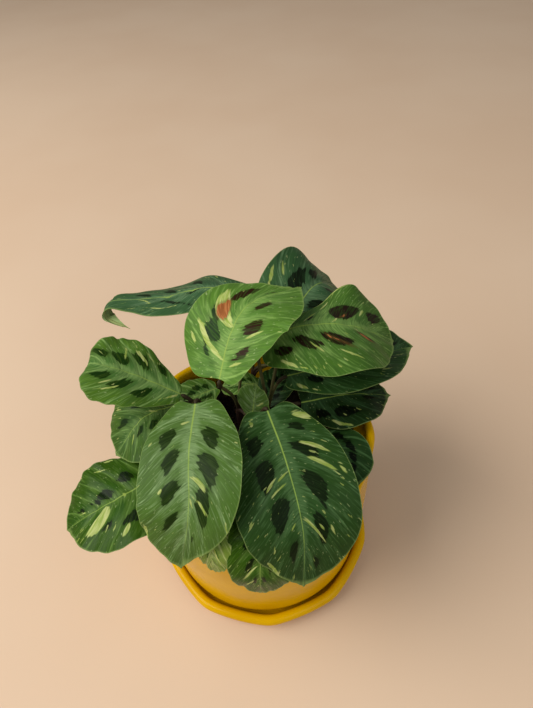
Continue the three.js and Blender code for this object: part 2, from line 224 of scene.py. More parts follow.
LEAVES = {
    "leaf_front_left": {
        "rib": [(-27, -6, 152), (-29, -33, 151), (-30, -57, 139), (-38, -69, 108)],
        "width": 50, "roll": -5, "wave": 1, "blunt": 0.05, "left": {"blunt": 0.3, "full": 1.18},
        "tone": "sage", "flecks": 0.4,
        "marks": [
            (16, 28, 19, 60, 2.3), (28, 17, 31, 51, 2.7), (44, 19, 43, 58, 3.0), (58, 26, 59, 64, 2.2),
            (17, -19, 21, -54, 2.8), (32, -18, 34, -62, 3.8), (51, -22, 46, -63, 4.0),
            (66, -48, 65, -61, 1.1),
        ],
        "streaks": [
            (43, -3, 42, -49, 0.9), (51, -19, 47, -64, 0.45), (54, -3, 56, -19, 0.7),
            (12, 6, 13, 28, 0.5), (39, 52, 39, 60, 0.7), (49, 96, 57, 99, 0.8),
        ],
    },
    "leaf_front_right": {
        "rib": [(8, -9, 146), (15, -37, 143), (20, -63, 129), (19, -78, 98)],
        "width": 58, "roll": -3, "curl": -14, "wave": 1, "blunt": 0.09, "tone": "deep", "flecks": 0.9,
        "marks": [
            (14, 30, 15, 61, 2.5), (29, 20, 30, 53, 4.2), (48, 14, 48, 56, 4.0), (67, 22, 68, 61, 2.5),
            (11, -27, 12, -58, 1.4), (22, -13, 24, -59, 2.4), (37, -16, 41, -55, 3.8),
            (54, -26, 57, -61, 3.6), (72, -53, 71, -76, 1.5),
        ],
        "streaks": [
            (5, -59, 7, -97, 0.85), (20, -29, 21, -69, 0.9), (27, -36, 28, -71, 0.9),
            (26, -80, 27, -90, 0.6), (36, 5, 36, 23, 0.5), (40, 12, 39, 38, 0.4), (34, 23, 35, 42, 0.4),
            (58, -3, 59, -53, 0.7), (55, -38, 55, -50, 0.4), (51, -57, 52, -68, 0.6),
            (55, 68, 57, 76, 0.6), (56, 93, 67, 99, 0.7), (58, 16, 59, 31, 0.4),
        ],
    },
    "leaf_front_low": {
        "rib": [(1, -38, 120.8), (1, -61, 123.2), (-1, -73.5, 106), (-2, -74.5, 84)],
        "width": 32, "fold": 4, "curl": -14, "wave": 0.5, "tone": "glossy", "flecks": 0.9,
        "streaks": [(58, 19, 57, 67, 0.6), (67, 43, 64, 80, 0.4)],
    },
    "leaf_front_pale": {
        "rib": [(-16, -44, 119), (-20.5, -57, 120.9), (-23, -66, 113.5), (-23, -67.5, 97)],
        "width": 13, "fold": 4, "curl": -8, "wave": 0.3, "left": {"full": 1.45}, "tone": "fresh",
        "flecks": 0.9,
        "streaks": [(51, -17, 61, -78, 0.9), (67, 30, 77, 73, 0.8)],
    },
    "leaf_low_left": {
        "rib": [(-47, -24, 120), (-64, -34, 120.5), (-84, -41, 114), (-98, -44, 105)],
        "width": 52, "fold": 4, "left": {"broad": -0.22, "blunt": 0.09, "full": 0.98},
        "right": {"broad": 0.12, "blunt": 0.02}, "tone": "glossy", "wobble": 2, "flecks": 0.8,
        "marks": [
            (45, 11, 55, 36, 2.8), (56, 9, 62, 29, 1.2), (23, 20, 30, 47, 2.6), (74, 22, 76, 43, 1.1),
            (45, -45, 45, -68, 1.6), (27, -39, 29, -64, 2.2),
        ],
        "streaks": [
            (53, -7, 56, -81, 2.6), (29, -63, 29, -81, 0.8), (30, 72, 40, 81, 0.5),
            (23, 94, 29, 95, 0.6), (73, 15, 78, 26, 0.5), (36, -6, 38, 4, 0.5),
        ],
    },
    "leaf_mid_left": {
        "rib": [(-38, 9, 134), (-56.5, -1, 137), (-72.5, -13.5, 123)],
        "width": 46, "roll": -5, "fold": 4, "wave": 1, "right": {"full": 0.9, "broad": 0.4},
        # Its tone is the mid tone made darker: painted shade.
        "tone": "low", "flecks": 0.9,
        "marks": [
            (33, -20, 38, -46, 1.6), (51, -16, 55, -42, 1.6), (34, 29, 37, 59, 1.8),
            (57, 29, 60, 63, 1.7),
        ],
        "streaks": [(20, 9, 33, 40, 1.0), (61, -14, 65, -51, 0.5), (30, -4, 37, 10, 0.4)],
    },
    "leaf_left": {
        "rib": [(-37, 9, 142), (-57, 13, 154), (-71, 15, 161), (-80, 17, 162), (-83, 17.5, 158)],
        "width": 45, "roll": -6, "twist": 8, "left": {"broad": 0.25, "blunt": 0.05, "full": 0.95},
        "right": {"broad": 0.4, "blunt": 0.035, "full": 0.92, "wave": 2.5, "phase": 0.32},
        "tone": "mid", "wobble": 3, "flecks": 0.7,
        "marks": [
            (76, 43, 72, 79, 1.9), (57, 17, 58, 57, 2.9), (37, 22, 39, 64, 2.4), (17, 38, 18, 80, 1.6),
            (68, -24, 67, -69, 2.1), (47, -18, 52, -64, 2.4), (25, -20, 32, -64, 1.9),
        ],
        "streaks": [
            (34, 40, 39, 66, 1.0), (25, 64, 29, 76, 0.6), (48, -47, 55, -82, 0.5),
            (58, -43, 61, -72, 0.35), (3, -17, 12, -58, 0.5), (55, 34, 48, 64, 0.4),
        ],
    },
    "leaf_top_left": {
        "rib": [
            (0, 50, 174), (-21, 54, 175), (-42, 56, 169), (-61, 60, 165),
            (-76, 61, 164), (-79, 57, 157), (-65, 48, 155),
        ],
        "width": 37, "roll": -5, "twist": -10, "fold": -6, "wave": 1, "blunt": 0.1,
        "left": {"broad": -0.85, "blunt": 0.12, "full": 0.7},
        "right": {"broad": -0.5, "blunt": 0.15, "full": 0.89}, "tone": "blue", "quilt": 2.2,
        "flecks": 0.8,
        "marks": [
            (21, -63, 39, -34, 0.8), (23, -2, 28, -15, 1.4), (19, 30, 21, 62, 1.5),
            (34, 30, 34, 63, 1.5), (47, 31, 46, 62, 1.3), (11, -29, 12, -59, 1.2),
        ],
        "streaks": [(43, -44, 57, -17, 0.7), (26, -64, 36, -74, 0.5)],
    },
    "leaf_top_middle": {
        "rib": [(-14, 1, 161), (-7, 16, 176), (4, 31, 182), (31, 48, 176)],
        "width": 57, "wave": 1, "blunt": 0.1, "left": {"broad": -0.5, "blunt": 0.25, "full": 0.95},
        "right": {"broad": 0.12, "full": 0.95}, "tone": "light", "flecks": 0.6, "green_below": 0.35,
        "marks": [
            (22, -19, 27, -61, 2.6), (11, -31, 16, -50, 0.9), (35, -35, 33, -70, 2.4),
            (48, -49, 45, -73, 3.6), (48, 25, 61, 43, 2.4), (32, 21, 34, 55, 2.8),
            (15, 26, 17, 58, 1.7), (63, -47, 71, -46, 0.5),
        ],
        "streaks": [
            (36, -2, 35, -83, 2.4), (13, -1, 24, -87, 1.0), (13, -65, 15, -80, 0.6),
            (25, 26, 28, 62, 0.4), (9, 24, 11, 55, 0.6),
        ],
        "spots": [(37, -31, 35, -62, 2.3)],
    },
    "leaf_top_right": {
        "rib": [(8, 21, 164), (27, 22, 172), (53, 24, 168), (80, 32, 146)],
        "width": 57, "roll": 12, "twist": -26, "fold": -20, "open": 34, "broad": 0.05, "blunt": 0.08,
        "left": {"broad": 0.85, "blunt": 0.08, "full": 0.88, "wave": 3, "phase": -0.12},
        "right": {"broad": -0.15, "full": 1.02}, "tone": "upper", "flecks": 0.7, "cream_edge": 0.45,
        "marks": [
            (52, -13, 49, -55, 5.6), (73, -42, 67, -78, 2.4), (6, 35, 13, 51, 2.1),
            (20, 16, 28, 49, 2.7), (35, 18, 44, 53, 3.4), (57, 21, 62, 58, 1.3),
            (28, -16, 31, -30, 0.7),
        ],
        "streaks": [
            (26, 38, 29, 61, 0.5), (36, 60, 39, 81, 0.4), (6, 74, 11, 92, 0.6), (11, 89, 15, 91, 0.4),
            (45, -4, 48, -17, 0.5), (62, -38, 62, -58, 0.5), (59, 4, 59, 23, 0.4),
            (27, -19, 31, -48, 0.5), (31, -48, 34, -77, 0.6),
        ],
        "spots": [(38, 28, 41, 48, 0.7), (58, 29, 60, 51, 0.65), (50, -20, 52, -27, 0.5)],
    },
    "leaf_top_back": {
        "rib": [(21, 39.5, 151), (32.5, 56, 161), (44, 69, 160), (60, 84, 138)],
        "width": 60, "roll": -28, "fold": 10, "curl": -14, "blunt": 0.25,
        "left": {"blunt": 0.4, "full": 1.18, "wave": 6}, "tone": "blue", "quilt": 1.4, "flecks": 0.6,
        "marks": [
            (35, -16, 31, -57, 3.4), (50, -23, 43, -56, 1.8), (19, -25, 17, -57, 2.0),
            (49, 28, 52, 57, 2.2), (28, 12, 30, 46, 2.4), (67, 38, 70, 68, 1.6),
        ],
        "streaks": [(17, -74, 22, -93, 0.6), (26, -61, 26, -81, 0.4)],
    },
    "leaf_right": {
        "rib": [(20, 16, 142), (54, 18, 148), (94, 38, 134)],
        "width": 42, "left": {"broad": 0.15, "blunt": 0.03, "full": 1.25}, "right": {"blunt": 0.2},
        "flecks": 0.9,
        "marks": [
            (27, 16, 30, 49, 2.0), (12, 21, 18, 49, 1.7), (42, 21, 45, 56, 2.2), (59, 24, 61, 61, 1.8),
            (21, -19, 25, -54, 2.0), (41, -20, 44, -57, 2.2), (60, -24, 63, -58, 2.0),
            (78, -26, 79, -62, 1.2),
        ],
        "streaks": [
            (5, 60, 8, 83, 0.6), (40, 68, 45, 83, 0.5), (10, 77, 12, 85, 0.5), (64, 67, 70, 90, 0.6),
        ],
    },
    "leaf_low_right": {
        "rib": [(27, 12, 123), (53, 12, 127), (79, 18, 116)],
        # Its tone is the dark tone made darker: painted shade.
        "width": 48, "blunt": 0.1, "right": {"blunt": 0.25}, "tone": "night", "flecks": 0.6,
        "marks": [
            (31, 36, 32, 72, 3.0), (60, 21, 64, 55, 2.6), (15, 33, 16, 65, 2.0),
            (25, -23, 26, -58, 2.2), (46, -25, 47, -60, 2.4), (67, -30, 67, -63, 1.8),
        ],
        "streaks": [(17, 69, 26, 97, 0.7)],
    },
    "leaf_far_right": {
        "rib": [(34, -11, 123), (44, -21, 124.5), (50, -40, 121)],
        "width": 28, "fold": 4, "curl": -4, "wave": 0.5, "flecks": 0.3,
    },
    "leaf_middle": {
        "rib": [(-1, 11, 115), (1, 12, 127), (3, 16, 138)],
        "width": 22, "fold": 10, "wave": 0.5, "tone": "sage", "flecks": 0.5, "veined": 0.2,
        "marks": [],
        "streaks": [(43, 21, 48, 64, 0.4)],
    },
    "leaf_inner_left": {
        "rib": [(-22, 37, 111), (-34, 31, 112), (-46, 26, 109)],
        "width": 24, "fold": 20, "wave": 0.5, "tone": "mid", "flecks": 0.8,
    },
    "leaf_inner_back": {
        "rib": [(4, 36, 113), (-8, 34, 117), (-19, 34, 113)],
        "width": 18, "fold": 16, "wave": 0.5, "tone": "mid",
    },
    "leaf_inner_right": {
        "rib": [(8, 21, 112), (15, 31, 118), (24, 42, 116)],
        "width": 23, "fold": 16, "wave": 0.5,
    },
    "leaf_back_left": {
        "rib": [(-11, 52, 120), (-19, 74, 124), (-25, 94, 102)],
        "width": 38, "curl": -12, "wave": 1,
    },
    "leaf_back_middle": {
        "rib": [(4, 52, 132), (9, 76, 134), (12, 98, 114)],
        "width": 42, "curl": -12, "tone": "mid",
    },
    "leaf_back_right": {
        "rib": [(18, 46, 124), (33, 66, 124), (44, 86, 102)],
        "width": 40, "curl": -12, "tone": "deep",
    },
    "leaf_back_far_right": {
        "rib": [(36, 28, 131), (62, 38, 130), (86, 52, 111)],
        "width": 38, "curl": -12,
    },
}

SHOOTS = {
    "stem_left": {
        "foot": (-18, 12), "top": (-22, 10, 112),
        "leaves": ["leaf_front_left", "leaf_low_left", "leaf_mid_left", "leaf_left"],
    },
    "stem_front": {
        "foot": (-2, -4), "top": (-2, -8, 112),
        "leaves": ["leaf_front_right", "leaf_front_low", "leaf_front_pale", "leaf_far_right"],
    },
    "stem_middle": {
        "foot": (-9, 20), "top": (-9, 21, 110),
        "leaves": ["leaf_top_left", "leaf_top_middle", "leaf_middle"],
    },
    "stem_right": {
        "foot": (6, 16), "top": (8, 16, 112),
        "leaves": ["leaf_top_right", "leaf_top_back", "leaf_right", "leaf_low_right", "leaf_inner_right"],
    },
    "stem_back": {
        "foot": (0, 41), "top": (0, 45, 110),
        "leaves": ["leaf_inner_left", "leaf_inner_back", "leaf_back_left", "leaf_back_middle",
                   "leaf_back_right", "leaf_back_far_right"],
    },
}

# Looks of the blades: the colours beside the midrib, towards the edge, of the feathering and of the
# blotches, then the roughness and how bright the cream is
TONES = {
    "sage": ("#557436", "#4b6b28", "#829d68", "#192c06", 0.42, 0.8),
    "light": ("#5a8236", "#557d2a", "#88ab57", "#2c1a08", 0.42, 0.95),
    "upper": ("#4c7230", "#436722", "#7fa052", "#1f1207", 0.42, 0.8),
    "mid": ("#527b39", "#507320", "#86a45c", "#143004", 0.42, 0.85),
    # This row is the mid tone at little more than half its brightness: painted shade.
    "low": ("#3d5e27", "#3c5a18", "#678545", "#0e2603", 0.42, 0.75),
    "fresh": ("#7f9a45", "#7a9438", "#b9c67e", "#3f6a1f", 0.38, 1.0),
    "deep": ("#2b4a1e", "#284418", "#507042", "#0c1a04", 0.42, 0.68),
    "blue": ("#3b5d3a", "#35572f", "#64835a", "#0e1a08", 0.42, 0.7),
    "dark": ("#294720", "#244018", "#48693c", "#040a02", 0.40, 0.6),
    # This row is the dark tone at about half its brightness: painted shade.
    "night": ("#1b3113", "#182c0f", "#355230", "#030702", 0.40, 0.55),
    "glossy": ("#305510", "#33520a", "#5c7a34", "#081a01", 0.28, 0.85),
}

# What the blades' material reads from their mesh, and its noises: the stretch across and along the veins,
# then size, detail and roughness
LEAF_FIELDS = ("blotch", "end", "pale", "vein", "rib", "edge", "along", "outer", "half")
LEAF_NOISES = {
    "grain": ((100, 9, 1), 1.1, 4, 0.6),
    "teeth": ((100, 12, 1), 0.85, 2, 0.5),
    "hairs": ((100, 6, 1), 1.7, 2, 0.5),
    "cloudy": ((100, 100, 1), 0.07, 2),
    "crowd": ((100, 100, 1), 0.13, 1),
    "flecks": ((110, 22, 1), 0.7, 2, 0.5),
    "dots": ((110, 30, 1), 1.4, 1, 0.4),
}
EVEN = (1, 1, 1)

# Further colours of the blades
CREAMS = ("#c9d184", "#96ad47")
GREEN_BLOTCH = ("#15300a", "#2f5212")
SPOT_SURROUND = "#5c4420"
SPOT_TANS = ("#b0703f", "#8c5229")
DOT = "#a3b67a"
MIDRIB = "#8fa94c"
THIN_EDGE = "#8da35a"


# Geometry of a blade

def unit(vectors):
    return vectors / np.linalg.norm(vectors, axis=-1, keepdims=True)


def smoothstep(low, high, values):
    share = np.clip((values - low) / (high - low), 0, 1)
    return share * share * (3 - 2 * share)


def waves(turns):
    return np.sin(2 * math.pi * turns)


class Rib:
    """The midrib: a Catmull-Rom curve through its points, read by distance along it."""

    def __init__(self, points, count=2000):
        p = np.array(points, float)
        ends = np.vstack([2 * p[0] - p[1], p, 2 * p[-1] - p[-2]])
        t = np.linspace(0, len(p) - 1, count + 1)
        i = np.minimum(t.astype(int), len(p) - 2)
        w = (t - i)[:, None]
        a, b, c, d = ends[i], ends[i + 1], ends[i + 2], ends[i + 3]
        m0, m1 = (c - a) / 2, (d - b) / 2
        bend = (3 * c - 3 * b - 2 * m0 - m1) * w ** 2
        self.places = b + m0 * w + bend + (2 * b - 2 * c + m0 + m1) * w ** 3
        steps = np.linalg.norm(np.diff(self.places, axis=0), axis=1)
        self.run = np.concatenate([[0], np.cumsum(steps)])
        self.length = self.run[-1]
        self.tangents = unit(np.gradient(self.places, self.run, axis=0))
        chord = p[-1] - p[0]
        self.across = unit(np.array([chord[1], -chord[0], 0.0]))

    def read(self, values, u):
        return np.stack([np.interp(u * self.length, self.run, values[:, k]) for k in range(3)], axis=-1)

    def at(self, u):
        return self.read(self.places, u), unit(self.read(self.tangents, u))


def own(leaf, key, side):
    """What key is on the leaf's left half (side below 0) or on its right half."""
    return np.where(side < 0, leaf["left"][key], leaf["right"][key])


def blade_points(leaf, u, y, lift):
    """Points of the blade at u along the midrib (0 base, 1 tip) and y mm out from it, with a lift."""
    rib = leaf["curve"]
    along = np.clip(u, 0, 1)
    at, forward = rib.at(along)
    at = at + forward * ((u - along) * rib.length)[..., None]
    side = unit(rib.across - forward * (forward @ rib.across)[..., None])
    up = np.cross(side, forward)
    roll = np.radians(leaf["roll"] + leaf["twist"] * along)[..., None]
    right = side * np.cos(roll) + up * np.sin(roll)
    top = up * np.cos(roll) - side * np.sin(roll)
    half = leaf["width"] / 2
    q = np.abs(y) / half
    fold = np.radians(leaf["fold"] + leaf["open"] * along)
    curl = math.radians(leaf["curl"])
    slope = fold + curl * q
    out = half * (np.sin(slope) - np.sin(fold)) / curl
    rise = half * (np.cos(fold) - np.cos(slope)) / curl
    turn = EDGE_RIPPLES * along + own(leaf, "phase", y)
    ripple = own(leaf, "wave", y) * q * q * waves(turn)
    sign = np.sign(y)
    normal = top * np.cos(slope)[..., None] - right * (sign * np.sin(slope))[..., None]
    flat = at + right * (sign * out)[..., None] + top * (rise + ripple)[..., None]
    return flat + normal * lift[..., None]


def outline(leaf, tau, side):
    """The outline at tau (0 base, 1 tip): place along the midrib and share of half the width."""
    along = (1 - np.cos(math.pi * tau)) / 2
    fuller = own(leaf, "full", side) * (1 - own(leaf, "broad", side) * np.cos(math.pi * tau))
    lobe = np.minimum(fuller, 1) * LOBE * np.sin(math.pi * np.minimum(tau / LOBE_END, 1)) ** 2
    point = 1 - np.exp(-(1 - along) / own(leaf, "blunt", side))
    return along - lobe, np.sin(math.pi * tau) * point * fuller


def vein_end(leaf, s, side):
    along = np.minimum(s + VEIN_SWEEP * np.sin(math.pi * s), 1)
    return outline(leaf, np.arccos(1 - 2 * along) / math.pi, side)


def vein_points(leaf, s, t):
    """A vein leaves the midrib at s and sweeps on to the outline; t runs along it to 1 or -1."""
    x, y = vein_end(leaf, s, t)
    return s + (x - s) * np.abs(t) ** VEIN_BEND, y * t


def vein_length(leaf, s, t):
    x, y = vein_end(leaf, s, t)
    return np.hypot((x - s) * leaf["curve"].length, y * leaf["width"] / 2) + 1e-3


def flat_place(leaf, s, t):
    """A point in mm on the blade laid flat with straight veins: across the veins, then along them."""
    return np.stack([s * leaf["curve"].length * VEIN_SLANT, t * vein_length(leaf, s, t)], axis=-1)


def ends_of(leaf, mark):
    """The inner and outer end of a mark on the flat blade, and its half width, all in mm."""
    s0, t0, s1, t1, half_wide = mark
    inner = flat_place(leaf, np.array(s0), np.array(t0))
    outer = flat_place(leaf, np.array(s1), np.array(t1))
    return inner, outer, half_wide


def patch(leaf, place, mark):
    """How deep, in mm, a place lies inside a mark, and where it is from inner (-1) to outer end (1)."""
    inner, outer, half_wide = ends_of(leaf, mark)
    whole = np.linalg.norm(outer - inner)
    axis = (outer - inner) / whole
    half_long = BLOTCH_LENGTH * whole / 2
    off = place - (inner + outer) / 2
    long = off @ axis / half_long
    wide = (off[..., 0] * axis[1] - off[..., 1] * axis[0]) / (BLOTCH_FULLNESS * half_wide)
    wide = wide / (1 + BLOTCH_TAPER * np.clip(long, -1.2, 1.2))
    power = BLOTCH_SQUARENESS
    reach = (np.abs(long) ** power + np.abs(wide) ** power + 1e-9) ** (1 / power)
    return (1 - reach) * min(half_long, half_wide), long


def usual_marks(rng):
    """Blotches for a leaf whose own don't show: two rows, one on each side."""
    marks = []
    for sign in (1, -1):
        start = USUAL_FIRST[0] + rng.uniform(0, USUAL_FIRST[1])
        for i in range(USUAL_IN_ROW):
            s = start + USUAL_STEP * i
            inner = rng.uniform(*USUAL_INNER)
            outer = inner + rng.uniform(*USUAL_LENGTHS) - USUAL_SHORTENING * i
            marks.append((s, sign * inner, s + USUAL_SLANT, sign * outer, rng.uniform(*USUAL_WIDTHS)))
    return marks


def in_shares(marks):
    """The marks with their percentages turned into shares."""
    return [(*[place / 100 for place in mark[:4]], mark[4]) for mark in marks]


def sized(leaf, marks):
    """The usual blotches with their share of the blade's width turned into mm."""
    return [(*mark[:4], USUAL_HALF_WIDTH * leaf["width"] * mark[4]) for mark in marks]


def blotches(leaf, s, t):
    """How deep each point lies inside a blotch, and how far it is towards that blotch's outer end."""
    place = flat_place(leaf, s, t)
    depth = np.full(s.shape, OUTSIDE)
    end = np.zeros(s.shape)
    for mark in leaf["marks"]:
        here, long = patch(leaf, place, mark)
        here = np.where(t * (mark[1] + mark[3]) >= 0, here, OUTSIDE)
        closer = here > depth
        end = np.where(closer, np.clip(long, -1, 1), end)
        depth = np.maximum(depth, here)
    return depth, end


def feathering(leaf, s, t):
    """The pale feathering beside the midrib, which runs out along the main veins between the blotches."""
    pale = np.zeros(s.shape)
    vein = np.full(s.shape, 9.0)
    for sign in (1, -1):
        main = [m for m in leaf["marks"] if m[1] * sign > 0 and m[4] > MAIN_BLOTCH * leaf["width"]]
        row = sorted((m[0] + m[2]) / 2 for m in main) or PLAIN_ROW
        step = (row[-1] - row[0]) / max(len(row) - 1, 1) or PLAIN_STEP
        places = [row[0] - step] + row + [row[-1] + step, row[-1] + 2 * step]
        between = [(a + b) / 2 for a, b in zip(places, places[1:])]
        nearest = np.min([np.abs(s - b + BRANCH_LEAN * (1 - np.abs(t))) for b in between], axis=0)
        share = np.clip(1 - nearest / (step / 2), 0, 1)
        branch = smoothstep(0.25, 0.9, share) * smoothstep(0.98, 0.35, np.abs(t))
        beside = smoothstep(0.30, 0.02, np.abs(t))
        side = t * sign >= 0
        pale = np.where(side, np.maximum(BRANCH_STRENGTH * branch, beside), pale)
        vein = np.where(side, nearest * leaf["curve"].length * VEIN_SLANT, vein)
    return pale, vein


def leaf_fields(leaf, s, t):
    """What the blade's material reads at each point; rib and edge are the distances to them in mm."""
    depth, end = blotches(leaf, s, t)
    pale, vein = feathering(leaf, s, t)
    u, y = vein_points(leaf, s, t)
    margin = np.abs(vein_end(leaf, s, t)[1])
    return {
        "blotch": depth,
        "end": end,
        "pale": pale,
        "vein": vein,
        "rib": np.abs(y) * leaf["width"] / 2,
        "edge": (1 - np.abs(t)) * margin * leaf["width"] / 2,
        "along": s,
        "outer": np.abs(t),
        "half": t,
    }


def relief(leaf, s, t, fields):
    """Low relief of the upper side in mm: sunk main veins, quilting between them and a crinkled edge."""
    fade = np.sin(math.pi * np.clip(s, 0, 1)) * (1 - np.abs(t) ** 3)
    sunk = -VEIN_DEPTH * np.exp(-(fields["vein"] / VEIN_WIDTH) ** 2)
    quilt = QUILT_HEIGHT * smoothstep(0, QUILT_REACH, fields["vein"])
    q = np.abs(t)
    a, b, c = leaf["phases"]
    crinkle = waves(5.3 * s + a + 0.3 * t) + 0.6 * waves(9.1 * s + b)
    edge = CRINKLE * q ** 4 * crinkle * np.sin(math.pi * s) + SWAY * q ** 2 * waves(3.1 * s + c)
    return leaf["quilt"] * fade * (sunk + quilt) + edge


def uneven(leaf, s, t):
    """How much wider or narrower the blade is than its plain outline, as a share of its width."""
    a, b = leaf["phases"][:2]
    turn = np.where(t < 0, 0.43, 0)
    drift = waves(4.3 * s + a + turn) + 0.7 * waves(8.9 * s + b - turn)
    return UNEVENNESS * leaf["wobble"] * drift * np.sin(math.pi * np.clip(s, 0, 1)) * t * t


def smooth(obj, wanted):
    obj.data.polygons.foreach_set("use_smooth", np.full(len(obj.data.polygons), wanted))


def add_mesh(name, vertices, faces, materials, attributes=None, face_materials=None, uv=None):
    mesh = bpy.data.meshes.new(name)
    mesh.from_pydata(np.asarray(vertices, float).tolist(), [], faces)
    for key, values in (attributes or {}).items():
        layer = mesh.attributes.new(key, "FLOAT", "POINT")
        layer.data.foreach_set("value", np.asarray(values, np.float32))
    if uv is not None:
        corners = np.zeros(len(mesh.loops), np.int32)
        mesh.loops.foreach_get("vertex_index", corners)
        layer = mesh.uv_layers.new(name="UVMap")
        layer.data.foreach_set("uv", np.asarray(uv, np.float32)[corners].ravel())
    for material in materials:
        mesh.materials.append(material)
    if face_materials is not None:
        mesh.polygons.foreach_set("material_index", np.asarray(face_materials, np.int32))
    mesh.update()
    obj = bpy.data.objects.new(name, mesh)
    bpy.context.scene.collection.objects.link(obj)
    smooth(obj, True)
    return obj


def leaf_grid():
    """Places (s, t) of the points of one side: the base, rows of points from edge to edge, the tip."""
    s_line = (1 - np.cos(math.pi * np.arange(1, ROWS) / ROWS)) / 2
    t_line = np.sin(math.pi / 2 * np.linspace(-1, 1, ACROSS))
    s, t = np.meshgrid(s_line, t_line, indexing="ij")
    return np.concatenate([[0.0], s.ravel(), [1.0]]), np.concatenate([[0.0], t.ravel(), [0.0]])


def leaf_faces():
    """Faces of the upper side, of the under side and of the rim that joins them."""
    layer = (ROWS - 1) * ACROSS + 2
    upper = []
    for i in range(ROWS - 2):
        for j in range(ACROSS - 1):
            first, next_row = 1 + i * ACROSS + j, 1 + (i + 1) * ACROSS + j
            upper.append((first, first + 1, next_row + 1, next_row))
    last_row = 1 + (ROWS - 2) * ACROSS
    for j in range(ACROSS - 1):
        upper.append((0, j + 2, j + 1))
        upper.append((layer - 1, last_row + j, last_row + j + 1))
    under = [tuple(layer + v for v in reversed(face)) for face in upper]
    rim = []
    for j, turn in ((0, 1), (ACROSS - 1, -1)):
        chain = [0] + [1 + i * ACROSS + j for i in range(ROWS - 1)] + [layer - 1]
        for a, b in zip(chain, chain[1:]):
            rim.append((a, b, b + layer, a + layer)[::turn])
    return upper, under, rim


def make_leaf(name, leaf, materials):
    s, t = leaf_grid()
    fields = leaf_fields(leaf, s, t)
    u, share = vein_points(leaf, s, t)
    y = share * leaf["width"] / 2 * (1 + uneven(leaf, s, t))
    raised = relief(leaf, s, t, fields)
    thicker = (BLADE_THICKNESS - EDGE_THICKNESS) * smoothstep(0, EDGE_REACH, fields["edge"])
    half = (EDGE_THICKNESS + thicker) / 2
    keel = np.exp(-(fields["rib"] / KEEL_WIDTH) ** 2) * (1 - 0.8 * s)
    top = blade_points(leaf, u, y, half + raised + KEEL_ABOVE * keel)
    bottom = blade_points(leaf, u, y, raised - half - KEEL_BELOW * keel)
    upper, under, rim = leaf_faces()
    both = {key: np.concatenate([values, values]) for key, values in fields.items()}
    place = flat_place(leaf, s, t) / UV_UNIT + leaf["offset"]
    kinds = [0] * len(upper) + [1] * len(under) + [0] * len(rim)
    return add_mesh(name, np.vstack([top, bottom]) * MM, upper + under + rim, materials, both, kinds,
                    np.vstack([place, place]))


# Turned pieces

def ring_faces(rings, steps, start=0):
    """Faces between rings of points that are numbered from start, ring after ring."""
    faces = []
    for i in range(rings - 1):
        a, b = start + i * steps, start + (i + 1) * steps
        for j in range(steps):
            k = (j + 1) % steps
            faces.append((a + j, a + k, b + k, b + j))
    return faces


def polar(radius, azimuth):
    """x and y at a radius and at an azimuth in degrees."""
    return radius * np.cos(np.radians(azimuth)), radius * np.sin(np.radians(azimuth))


def flatness(azimuth, corner):
    """Share of the way from a soft corner of the ten-sided rim (0) to the middle of a side (1)."""
    step = 360 / SIDES
    off = np.abs(np.mod(azimuth - corner, step) - step / 2)
    off = step / 2 - np.sqrt((step / 2 - off) ** 2 + CORNER_SOFTNESS ** 2)
    off = np.radians(np.maximum(off, 0))
    return 1 - (1 / np.cos(off) - 1) / (1 / math.cos(math.radians(step / 2)) - 1)


def turned(name, profile, corner, sided, material):
    """A closed profile of (radius, height) turned round Z; points on the axis close it."""
    profile = np.array(profile, float)
    azimuth = np.arange(TURN_STEPS) * 360 / TURN_STEPS
    scale = 1 - SIDE_DEPTH * sided(profile[:, 1])[:, None] * flatness(azimuth, corner)[None, :]
    radius = profile[:, :1] * scale
    x, y = polar(radius, azimuth)
    z = np.repeat(profile[:, 1:], TURN_STEPS, axis=1)
    vertices = np.stack([x, y, z], axis=-1).reshape(-1, 3) * MM
    obj = add_mesh(name, vertices, ring_faces(len(profile), TURN_STEPS), [material])
    tidy_mesh(obj)
    return obj


def tidy_mesh(obj):
    """Joins points that fall together, drops faces without area and turns all faces outwards."""
    mesh = bmesh.new()
    mesh.from_mesh(obj.data)
    bmesh.ops.remove_doubles(mesh, verts=mesh.verts, dist=1e-6)
    bmesh.ops.dissolve_degenerate(mesh, edges=mesh.edges, dist=1e-7)
    bmesh.ops.recalc_face_normals(mesh, faces=mesh.faces)
    mesh.to_mesh(obj.data)
    mesh.free()
    smooth(obj, True)


def arc(centre, radius, start, end, steps):
    angles = np.radians(np.linspace(start, end, steps))
    return [(centre[0] + radius * math.cos(a), centre[1] + radius * math.sin(a)) for a in angles]


def pot_side(steps):
    """The pot's outer side from the shoulder over the belly to just under the lip."""
    t = np.linspace(0, 1, steps)
    a = np.array([SHOULDER_RADIUS, SHOULDER_HEIGHT])
    b = np.array([BELLY_RADIUS, BELLY_HEIGHT])
    c = np.array([RIM_RADIUS, RIM_HEIGHT - POT_WALL / 2])
    points = ((1 - t) ** 2)[:, None] * a + (2 * t * (1 - t))[:, None] * b + (t ** 2)[:, None] * c
    return [tuple(p) for p in points]


def lower_edge(inset, steps):
    """The rounded lower edge, from the foot out to the shoulder, moved in by inset."""
    reach = SHOULDER_RADIUS - FOOT_RADIUS - inset / 2
    rise = SHOULDER_RISE - inset
    return [(FOOT_RADIUS - inset / 2 + reach * math.sin(a), SHOULDER_HEIGHT - rise * math.cos(a))
            for a in np.linspace(0, math.pi / 2, steps)]


def pot_sides(z):
    return smoothstep(SIDES_START, RIM_HEIGHT - POT_WALL, z)


